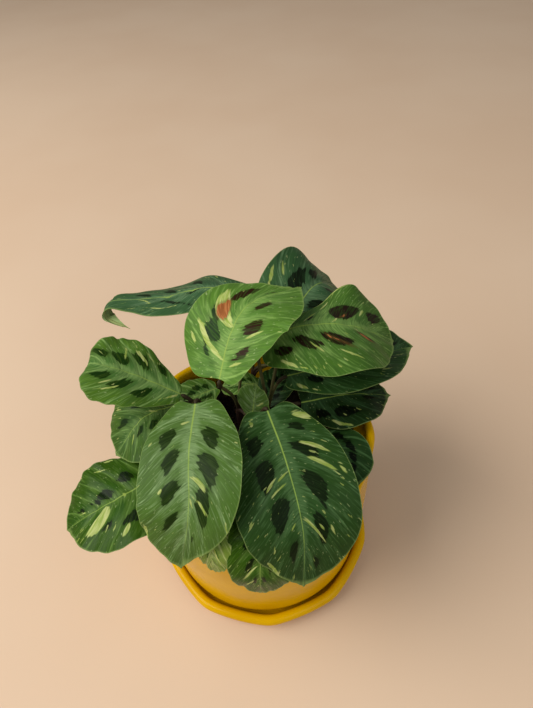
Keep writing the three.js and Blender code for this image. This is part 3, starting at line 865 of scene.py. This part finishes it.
def make_pot(material):
    side = pot_side(SIDE_STEPS)
    half = POT_WALL / 2
    lip = arc((RIM_RADIUS - half, RIM_HEIGHT - half), half, 0, 180, LIP_STEPS)
    inside = [(r - POT_WALL, z) for r, z in reversed(side)]
    profile = [(DRAIN_RADIUS, FOOT_HEIGHT), (FOOT_RADIUS - FOOT_BEVEL, FOOT_HEIGHT)]
    profile += lower_edge(0, OUTER_EDGE_STEPS) + side[1:] + lip[1:-1] + inside
    profile += lower_edge(POT_FLOOR, INNER_EDGE_STEPS)[::-1][1:]
    profile += [(DRAIN_RADIUS, FLOOR_HEIGHT), (DRAIN_RADIUS, FOOT_HEIGHT)]
    return turned("pot_glazed", profile, POT_CORNER, pot_sides, material)


def make_saucer(material):
    roll = SAUCER_ROLL / 2
    crown = arc((SAUCER_RADIUS - roll, SAUCER_HEIGHT - roll), roll, ROLL_START, 180, ROLL_STEPS)
    profile = SAUCER_OUTSIDE + crown + SAUCER_INSIDE
    return turned("saucer_glazed", profile, SAUCER_CORNER, lambda z: np.ones(len(z)), material)


# Potting mix

def soil_height(x, y):
    lump = np.sin(0.31 * x + 1.3) * np.cos(0.27 * y) + 0.5 * np.sin(0.5 * y - 0.4 * x)
    fine = 0.5 * np.sin(1.3 * x + 0.7 * y) * np.sin(1.1 * y - 0.5 * x)
    fine = fine + 0.3 * np.sin(2.9 * x) * np.sin(2.7 * y + 1)
    return SOIL_HEIGHT + SOIL_LUMP * lump * 0.8 + SOIL_UNEVENNESS * fine


def make_soil(material, crumb_material):
    """The surface of the potting mix with a plain skirt under it, and its loose crumbs."""
    rng = np.random.default_rng(SEED)
    side = np.array(pot_side(SOIL_SIDE_STEPS))
    edge = np.interp(SOIL_HEIGHT, side[:, 1], side[:, 0]) - POT_WALL - SOIL_FIT
    azimuth = np.arange(SOIL_STEPS) * 360 / SOIL_STEPS
    scale = 1 - SIDE_DEPTH * float(pot_sides(np.array(SOIL_HEIGHT))) * flatness(azimuth, POT_CORNER)
    places = []
    for i in range(SOIL_RINGS + 1):
        radius = edge * scale * i / SOIL_RINGS
        x, y = polar(radius, azimuth)
        sink = SOIL_RIM_SINK * smoothstep(0.86, 1, i / SOIL_RINGS)
        z = soil_height(x, y) - sink + rng.normal(0, SOIL_GRAIN, SOIL_STEPS)
        places.append(np.stack([x, y, z], axis=-1))
    deep = places[-1] * [SOIL_TAPER, SOIL_TAPER, 0] + [0, 0, SOIL_HEIGHT - SOIL_DEPTH]
    places += [deep, deep * [0, 0, 1]]
    places[0] = np.repeat(places[0].mean(axis=0)[None, :], SOIL_STEPS, axis=0)
    faces = ring_faces(len(places), SOIL_STEPS)
    ground = add_mesh("potting_mix_surface", np.concatenate(places) * MM, faces, [material])
    tidy_mesh(ground)
    return ground, make_crumbs(rng, edge, crumb_material)


def make_crumbs(rng, edge, material):
    """Loose bits of bark and peat on the potting mix, each an uneven block pressed into it."""
    corners = np.array([(x, y, z) for x in (-1, 1) for y in (-1, 1) for z in (-1, 1)], float)
    block = [(0, 1, 3, 2), (4, 6, 7, 5), (0, 4, 5, 1), (2, 3, 7, 6), (0, 2, 6, 4), (1, 5, 7, 3)]
    places, faces, shade = [], [], []
    for _ in range(CRUMBS):
        radius = edge * CRUMB_REACH * math.sqrt(rng.uniform(0, 1))
        angle = rng.uniform(0, 2 * math.pi)
        x, y = radius * math.cos(angle), radius * math.sin(angle)
        length = rng.uniform(*CRUMB_SIZES)
        size = length * np.array([1, rng.uniform(*CRUMB_WIDTHS), rng.uniform(*CRUMB_HEIGHTS)])
        turn = Matrix.Rotation(rng.uniform(0, 2 * math.pi), 3, "Z")
        turn = turn @ Matrix.Rotation(rng.normal(0, CRUMB_TILT), 3, "X")
        crumb = (corners * size * rng.uniform(*CRUMB_CORNERS, corners.shape)) @ np.array(turn).T
        start = len(places) * len(corners)
        places.append(crumb + [x, y, float(soil_height(x, y)) + CRUMB_LIFT * size[2]])
        faces += [tuple(start + v for v in face) for face in block]
        shade += [rng.uniform(0, 1)] * len(corners)
    obj = add_mesh("potting_mix_crumbs", np.concatenate(places) * MM, faces, [material], {"shade": shade})
    smooth(obj, False)
    return obj


# Stems

def bezier(points, t):
    points = [np.array(p, float) for p in points]
    while len(points) > 1:
        points = [a + (b - a) * t for a, b in zip(points, points[1:])]
    return points[0]


def tube(points, radii, tone, start):
    """A closed round tube through the points, with its points numbered from start."""
    points = np.array(points)
    forward = unit(np.gradient(points, axis=0))
    side = unit(np.cross(forward[0], [0.31, 0.17, 0.93] if abs(forward[0][2]) < 0.9 else [1, 0.2, 0]))
    angles = 2 * math.pi * np.arange(STALK_SIDES) / STALK_SIDES
    places, tones = [], []
    for i, (at, along) in enumerate(zip(points, forward)):
        side = unit(side - along * (side @ along))
        other = np.cross(along, side)
        places.append(at + radii[i] * (np.cos(angles)[:, None] * side + np.sin(angles)[:, None] * other))
        tones += [tone[i]] * STALK_SIDES
    last = start + (len(points) - 1) * STALK_SIDES
    faces = ring_faces(len(points), STALK_SIDES, start)
    faces.append(tuple(start + j for j in reversed(range(STALK_SIDES))))
    faces.append(tuple(last + j for j in range(STALK_SIDES)))
    return np.concatenate(places), faces, tones


def petiole(leaf, start, rise):
    """Points, radii and tones of a petiole: a sheath at its foot and a thick knee under its blade."""
    base, forward = leaf["curve"].places[0], leaf["curve"].tangents[0]
    end = base - forward * KNEE_GAP
    reach = np.linalg.norm(end - start)
    shape = [start, start + rise * 0.45 * reach, end - forward * min(KNEE_LENGTH, 0.4 * reach), end]
    points = np.array([bezier(shape, x) for x in np.linspace(0, 1, PETIOLE_STEPS)])
    run = np.concatenate([[0], np.cumsum(np.linalg.norm(np.diff(points, axis=0), axis=1))])
    left = run[-1] - run
    knee = smoothstep(KNEE_LENGTH + KNEE_BLEND, KNEE_LENGTH - KNEE_BLEND, left)
    radii = PETIOLE_RADIUS + (KNEE_RADIUS - PETIOLE_RADIUS) * knee
    radii = radii - KNEE_PINCH * smoothstep(KNEE_BLEND, 0, left)
    radii = radii + SHEATH * np.exp(-(run / SHEATH_LENGTH) ** 2)
    tone = 0.15 + 0.55 * smoothstep(3, 22, run) * (1 - knee) + 0.3 * knee
    return points, radii, np.where(knee > 0.5, KNEE_TONE, tone)


def make_stem(name, shoot, material):
    """A short shoot with its petioles."""
    neck = np.array([*shoot["foot"], SOIL_HEIGHT], float)
    top = np.array(shoot["top"], float)
    foot = neck - [0, 0, STEM_DEPTH]
    t = np.linspace(0, 1, SPINE_STEPS)
    radii = STEM_RADIUS * (1 - STEM_TAPER * t)
    radii[[0, -1]] *= 1 - END_PINCH
    spine = [bezier([foot, neck, top], x) for x in t]
    places, faces, tones = tube(spine, radii, np.zeros(SPINE_STEPS), 0)
    all_places = [places]
    last = len(shoot["leaves"]) - 1
    for order, leaf_name in enumerate(shoot["leaves"]):
        share = FIRST_PETIOLE + (LAST_PETIOLE - FIRST_PETIOLE) * order / last
        stalk = petiole(LEAVES[leaf_name], neck + (top - neck) * share, unit(top - neck))
        places, more_faces, more_tones = tube(*stalk, sum(len(p) for p in all_places))
        all_places.append(places)
        faces += more_faces
        tones += more_tones
    places = np.concatenate(all_places) * MM
    return add_mesh(name.replace("stem", "shoot"), places, faces, [material], {"tone": tones})


# Materials

def colour(code, strength=1.0):
    """A colour as written on the web, in the shader's linear values."""
    channels = [int(code[i:i + 2], 16) / 255 for i in (1, 3, 5)]
    linear = [c / 12.92 if c <= 0.04045 else ((c + 0.055) / 1.055) ** 2.4 for c in channels]
    return (*[strength * c for c in linear], 1.0)


class Shader:
    """Builds one material's nodes. Values are sockets, numbers or colours; tone is the colour so far."""

    def __init__(self, name):
        self.material = bpy.data.materials.new(name)
        self.material.use_nodes = True
        self.nodes = self.material.node_tree.nodes
        self.links = self.material.node_tree.links
        self.surface = self.nodes["Principled BSDF"]
        self.tone = None

    def put(self, socket, value):
        if isinstance(value, bpy.types.NodeSocket):
            self.links.new(value, socket)
        else:
            socket.default_value = colour(value) if isinstance(value, str) else value

    def node(self, kind, **inputs):
        """A new node with these inputs; an underscore in a name stands for a space."""
        node = self.nodes.new("ShaderNode" + kind)
        for name, value in inputs.items():
            self.put(node.inputs[name.replace("_", " ")], value)
        return node

    def math(self, operation, a, b):
        node = self.node("Math")
        node.operation = operation
        self.put(node.inputs[0], a)
        self.put(node.inputs[1], b)
        return node.outputs[0]

    def add(self, a, b):
        return self.math("ADD", a, b)

    def times(self, a, b):
        return self.math("MULTIPLY", a, b)

    def scaled(self, value, factor, add=0.0):
        return self.add(self.times(value, factor), add)

    def step(self, value, low, high, out_low=0.0, out_high=1.0):
        limits = {"From_Min": low, "From_Max": high, "To_Min": out_low, "To_Max": out_high}
        node = self.node("MapRange", Value=value, **limits)
        node.interpolation_type = "SMOOTHSTEP"
        return node.outputs["Result"]

    def mix(self, factor, a, b):
        node = self.node("Mix")
        node.data_type = "RGBA"
        self.put(node.inputs["Factor"], factor)
        self.put(node.inputs["A"], a)
        self.put(node.inputs["B"], b)
        return node.outputs["Result"]

    def paint(self, mask, tone):
        """Lays a tone over the colour so far, as far as the mask says."""
        self.tone = self.mix(mask, self.tone, tone)

    def lay(self, tone, *step):
        """Lays a tone over the colour so far, as far as a step of a value says."""
        self.paint(self.step(*step), tone)

    def attribute(self, name):
        node = self.node("Attribute")
        node.attribute_name = name
        return node.outputs["Fac"]

    def mapping(self, kind, **inputs):
        return self.node("Mapping", Vector=self.node("TexCoord").outputs[kind], **inputs)

    def noise(self, kind, stretch, scale, detail=3.0, roughness=0.55):
        """Noise in UV or Object coordinates, which are stretched first."""
        place = self.mapping(kind, Scale=stretch).outputs["Vector"]
        node = self.node("TexNoise", Vector=place, Scale=scale, Detail=detail, Roughness=roughness)
        return node.outputs["Fac"]

    def patch(self, leaf, mark):
        """How deep, in mm, a point lies inside a long oval mark; below 0 it is outside."""
        inner, outer, half_wide = ends_of(leaf, mark)
        axis = outer - inner
        half_long = np.linalg.norm(axis) / 2
        place = (*((inner + outer) / 2 / UV_UNIT + leaf["offset"]), 0)
        turn = (0, 0, math.atan2(axis[1], axis[0]))
        size = (half_long / UV_UNIT, half_wide / UV_UNIT, 1)
        mapping = self.mapping("UV", Location=place, Rotation=turn, Scale=size)
        mapping.vector_type = "TEXTURE"
        length = self.node("VectorMath", Vector=mapping.outputs["Vector"])
        length.operation = "LENGTH"
        return self.scaled(length.outputs["Value"], -half_wide, half_wide)

    def patches(self, leaf, marks):
        depth = OUTSIDE
        for mark in marks:
            depth = self.math("MAXIMUM", depth, self.patch(leaf, mark))
        return depth

    def bump(self, height, strength, distance):
        node = self.node("Bump", Strength=strength, Distance=distance, Height=height)
        self.put(self.surface.inputs["Normal"], node.outputs["Normal"])

    def finish(self, roughness, specular, **values):
        """Sets the surface to the colour so far and to these values, and gives the material."""
        self.put(self.surface.inputs["Base Color"], self.tone)
        self.put(self.surface.inputs["Roughness"], roughness)
        self.put(self.surface.inputs["Specular IOR Level"], specular)
        for name, value in values.items():
            self.put(self.surface.inputs[name.replace("_", " ")], value)
        return self.material


def paint_green(shade, leaf, grown, read):
    """The plain blade: clouded green, pale feathering, light main veins, fine hairs and painted shade at
    the tip.
    """
    body, edging, feather = TONES[leaf["tone"]][:3]
    shade.tone = body
    shade.lay(edging, read["outer"], 0.25, 0.8)
    shade.lay(colour(edging, 0.5), grown["cloudy"], 0.35, 0.65, 0.2, 0)
    shade.lay(colour(body, 0.65), grown["grain"], 0.42, 0.62, 0, 0.35)
    # Painted shade: the green grows darker towards the tip.
    shade.lay(colour(body, 0.55), read["along"], 0.6, 0.95, 0, 0.4)
    pale = shade.add(read["pale"], shade.scaled(grown["grain"], 1.6, -0.8))
    shade.lay(feather, pale, 0.15, 0.9, 0, 0.55)
    shade.lay(colour(body, 0.6), read["vein"], 0.4, 1.8, 0.25, 0)
    shade.lay(colour(feather, 1.15), read["vein"], 0.12, 0.5, 0.65 * leaf["veined"], 0)
    shade.lay(feather, grown["hairs"], 0.52, 0.68, 0, 0.4)
    shade.lay(colour(body, 0.55), grown["hairs"], 0.48, 0.34, 0, 0.5)


def paint_blotches(shade, leaf, grown, read):
    """Dark blotches with a ragged edge and fine green hairs in them."""
    edging, dark = TONES[leaf["tone"]][1], TONES[leaf["tone"]][3]
    inner, outer = shade.step(read["end"], -0.1, -0.9, 0.3, 1.3), shade.step(read["end"], 0.4, 1, 0, 0.5)
    ragged = shade.add(inner, outer)
    torn = shade.add(read["blotch"], shade.times(shade.scaled(grown["teeth"], 4, -2), ragged))
    inside = shade.step(torn, -0.2, 0.25)
    shade.lay(colour(edging, 0.5), torn, -1.6, 0.2, 0, 0.35)
    hairs = shade.step(grown["hairs"], 0.45, 0.62, 0, 0.8)
    shade.paint(inside, shade.mix(hairs, dark, colour(edging, 0.35)))
    if leaf["green_below"]:
        left_half = shade.step(read["half"], -0.2, -0.1, 1, 0)
        low_part = shade.step(read["along"], leaf["green_below"], leaf["green_below"] + 0.02, 1, 0)
        fresh = shade.mix(shade.step(grown["hairs"], 0.4, 0.66), *GREEN_BLOTCH)
        shade.paint(shade.times(shade.times(inside, left_half), low_part), fresh)


def paint_stripes(shade, leaf, grown, cream):
    """Cream stripes along the veins, and dead tan spots with a brown surround."""
    streak = shade.add(shade.patches(leaf, leaf["streaks"]), shade.scaled(grown["teeth"], 1.6, -0.8))
    spot = shade.add(shade.patches(leaf, leaf["spots"]), shade.scaled(grown["teeth"], 3, -1.5))
    shade.lay(cream, streak, -0.1, 0.2, 0, 0.92)
    shade.lay(SPOT_SURROUND, spot, -0.9, -0.2, 0, 0.5)
    shade.lay(shade.mix(shade.step(grown["hairs"], 0.4, 0.6), *SPOT_TANS), spot, -0.1, 0.2)


def paint_flecks(shade, leaf, grown, read, cream):
    """Small cream flecks, crowded in places and towards the edge, and smaller pale dots."""
    amount, bright = leaf["flecks"], TONES[leaf["tone"]][5]
    wanted = shade.add(grown["flecks"], shade.scaled(grown["crowd"], 0.3 * amount, -0.15 * amount))
    wanted = shade.add(wanted, shade.scaled(read["outer"], 0.06, -0.03))
    low = 0.76 - 0.09 * amount
    shade.lay(cream, wanted, low, low + 0.03, 0, 0.7)
    clear = shade.step(read["blotch"], -0.5, 0.5, 0.6, 0.1)
    shade.paint(shade.times(shade.step(grown["dots"], 0.69, 0.74), clear), colour(DOT, bright))


def paint_lines(shade, leaf, read, cream):
    """A cream margin where the leaf has one, the light midrib and the thin pale edge."""
    if leaf["cream_edge"]:
        end = leaf["cream_edge"]
        band = shade.times(shade.step(read["edge"], 0.9, 1.5, 1, 0), shade.step(read["outer"], 0.5, 0.6))
        band = shade.times(band, shade.step(read["half"], -0.3, -0.2, 1, 0))
        shade.paint(shade.times(band, shade.step(read["along"], end - 0.1, end, 1, 0)), cream)
    rib = shade.math("SUBTRACT", read["rib"], shade.scaled(read["along"], -0.45, 0.1))
    shade.lay(MIDRIB, rib, 0.1, 0.55, 0.85, 0)
    shade.lay(THIN_EDGE, read["edge"], 0.05, 0.5, 0.45, 0)


def leaf_material(name, leaf):
    """The upper side of a blade, painted layer by layer."""
    rough, bright = TONES[leaf["tone"]][4:]
    shade = Shader(name)
    grown = {kind: shade.noise("UV", *values) for kind, values in LEAF_NOISES.items()}
    read = {key: shade.attribute(key) for key in LEAF_FIELDS}
    cream = shade.mix(shade.step(grown["grain"], 0.35, 0.65), *[colour(code, bright) for code in CREAMS])
    paint_green(shade, leaf, grown, read)
    paint_blotches(shade, leaf, grown, read)
    paint_stripes(shade, leaf, grown, cream)
    paint_flecks(shade, leaf, grown, read, cream)
    paint_lines(shade, leaf, read, cream)
    shade.bump(shade.add(grown["grain"], shade.scaled(grown["hairs"], 0.5)), 0.35, 0.0003)
    return shade.finish(shade.scaled(grown["teeth"], 0.3, rough - 0.15), 0.08)


def underside_material():
    """Under side of the blades: dull grey-green, paler, with the veins standing out."""
    shade = Shader("leaf_underside")
    veins = shade.noise("UV", *LEAF_NOISES["grain"])
    shade.tone = shade.mix(shade.step(veins, 0.3, 0.7), "#788e5a", "#93a867")
    shade.lay("#57604a", shade.attribute("blotch"), -0.6, 0.8, 0, 0.4)
    shade.lay("#98a674", shade.attribute("vein"), 0.2, 0.7, 0.4, 0)
    shade.lay("#8f9a5c", shade.attribute("rib"), 0.5, 1.4, 0.8, 0)
    shade.bump(veins, 0.4, 0.0004)
    return shade.finish(0.62, 0.3)


def stem_material():
    """Petioles: dark purple-brown below, olive above, with a brown knee."""
    shade = Shader("stem_skin")
    grain = shade.noise("Object", (1, 1, 0.25), 900)
    mottle = shade.noise("Object", EVEN, 160)
    height = shade.attribute("tone")
    mottled = shade.add(height, shade.scaled(mottle, 0.5, -0.25))
    shade.tone = shade.mix(shade.step(mottled, 0.1, 0.7), "#33231c", "#5d5a33")
    shade.lay("#38301c", height, -0.6, -0.2, 1, 0)
    shade.paint(shade.scaled(grain, 0.5, -0.1), "#2f2220")
    shade.bump(grain, 0.3, 0.0003)
    return shade.finish(0.6, 0.15)


def soil_material(name, low, high):
    shade = Shader(name)
    coarse = shade.noise("Object", EVEN, 420, 6, 0.7)
    fine = shade.noise("Object", EVEN, 1800, 4, 0.6)
    shade.tone = shade.mix(shade.step(coarse, 0.35, 0.7), low, high)
    shade.lay("#6a5038", fine, 0.62, 0.72, 0, 0.5)
    shade.bump(shade.add(coarse, fine), 0.9, 0.0016)
    return shade.finish(0.95, 0.2)


def glaze_material():
    """Golden yellow glaze: slightly uneven in depth, with fine dark specks and a wavy gloss."""
    shade = Shader("yellow_glaze")
    cloudy = shade.noise("Object", EVEN, 28, 4)
    wavy = shade.noise("Object", EVEN, 70, 2, 0.5)
    fine = shade.noise("Object", EVEN, 1500, 2, 0.5)
    shade.tone = shade.mix(shade.step(cloudy, 0.3, 0.7), "#cf9e00", "#dbab00")
    shade.lay("#7c5306", fine, 0.76, 0.82, 0, 0.35)
    shade.bump(shade.add(wavy, shade.scaled(fine, 0.06)), 0.18, 0.0016)
    return shade.finish(shade.scaled(cloudy, 0.12, 0.14), 0.07, Coat_Weight=0.06, Coat_Roughness=0.1)


def floor_material():
    shade = Shader("pale_floor")
    cloudy = shade.noise("Object", EVEN, 3)
    shade.tone = shade.mix(shade.step(cloudy, 0.3, 0.7), "#dbbd9f", "#dfc3a6")
    return shade.finish(0.6, 0.3)


# Stage

def make_camera():
    """The camera of the photograph."""
    pitch, roll = math.radians(CAMERA_PITCH), math.radians(CAMERA_ROLL)
    forward = Vector((0, math.cos(pitch), -math.sin(pitch)))
    right = Vector((1, 0, 0))
    up = right.cross(forward)
    x = right * math.cos(roll) + up * math.sin(roll)
    y = up * math.cos(roll) - right * math.sin(roll)
    data = bpy.data.cameras.new("camera")
    data.sensor_width = SENSOR
    data.lens = FOCAL_PIXELS / PHOTO_HEIGHT * SENSOR
    data.clip_start = CAMERA_NEAR
    camera = bpy.data.objects.new("camera", data)
    matrix = Matrix((x, y, -forward)).transposed().to_4x4()
    matrix.translation = Vector(CAMERA_PLACE) * MM
    camera.matrix_world = matrix
    bpy.context.scene.collection.objects.link(camera)
    bpy.context.scene.camera = camera
    bpy.context.scene.view_settings.view_transform = "Standard"


def area_light(name, place, size, power, tint):
    data = bpy.data.lights.new(name, "AREA")
    data.shape = "DISK"
    data.size = size
    data.energy = power
    data.color = tint
    lamp = bpy.data.objects.new(name, data)
    lamp.location = place
    lamp.rotation_euler = (Vector(LAMP_TARGET) - Vector(place)).to_track_quat("-Z", "Y").to_euler()
    bpy.context.scene.collection.objects.link(lamp)


def make_stage():
    """A plain pale floor in soft studio light."""
    corners = [(x * FLOOR_HALF, y * FLOOR_HALF, 0) for x, y in ((-1, -1), (1, -1), (1, 1), (-1, 1))]
    floor = add_mesh("floor", corners, [(0, 1, 2, 3)], [floor_material()])
    world = bpy.data.worlds.new("studio")
    bpy.context.scene.world = world
    world.use_nodes = True
    background = world.node_tree.nodes["Background"]
    background.inputs["Color"].default_value = STUDIO_COLOUR
    background.inputs["Strength"].default_value = STUDIO_STRENGTH
    for name, (place, size, power, tint) in LAMPS.items():
        area_light(name, place, size, power, tint)


# The whole

def complete_leaves():
    """Fills in what each leaf doesn't say, its halves, its curve and its own random values."""
    rng = np.random.default_rng(SEED)
    for number, (name, given) in enumerate(LEAVES.items()):
        leaf = {**PLAIN_LEAF, **given}
        leaf["curve"] = Rib(leaf["rib"])
        leaf["phases"] = rng.uniform(0, 1, 3)
        leaf["offset"] = np.array([3.7 * number, 1.3 * number])
        halves = {"left": {"phase": LEFT_PHASE, **leaf["left"]}, "right": {"phase": 0, **leaf["right"]}}
        for side, half in halves.items():
            leaf[side] = {**{key: leaf[key] for key in HALF_KEYS}, **half}
        for key in ("streaks", "spots"):
            leaf[key] = in_shares(leaf[key])
        own_marks = leaf["marks"] is not None
        leaf["marks"] = in_shares(leaf["marks"]) if own_marks else sized(leaf, usual_marks(rng))
        LEAVES[name] = leaf


def dress(obj, slot, *nodes):
    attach(obj, "root")
    if nodes:
        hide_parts(*nodes)


def make_plant():
    """The shoots and the blades."""
    skin, underside = stem_material(), underside_material()
    slots = {row["node"]: row["material_slot"] for row in frame["record"]["subparts"]}
    for name, shoot in SHOOTS.items():
        dress(make_stem(name, shoot, skin), "stem", name)
    for name, leaf in LEAVES.items():
        materials = [leaf_material(name + "_skin", leaf), underside]
        dress(make_leaf(name.replace("leaf", "blade"), leaf, materials), slots[name], name)


make_camera()
make_stage()
complete_leaves()
glaze = glaze_material()
dress(make_saucer(glaze), "glaze", "saucer")
dress(make_pot(glaze), "glaze", "pot")
mix_material = soil_material("potting_mix", "#120d0a", "#2c2019")
ground, crumbs = make_soil(mix_material, soil_material("crumbs", "#1d1410", "#4a3526"))
dress(ground, "potting_mix", "potting_mix")
dress(crumbs, "potting_mix")
make_plant()
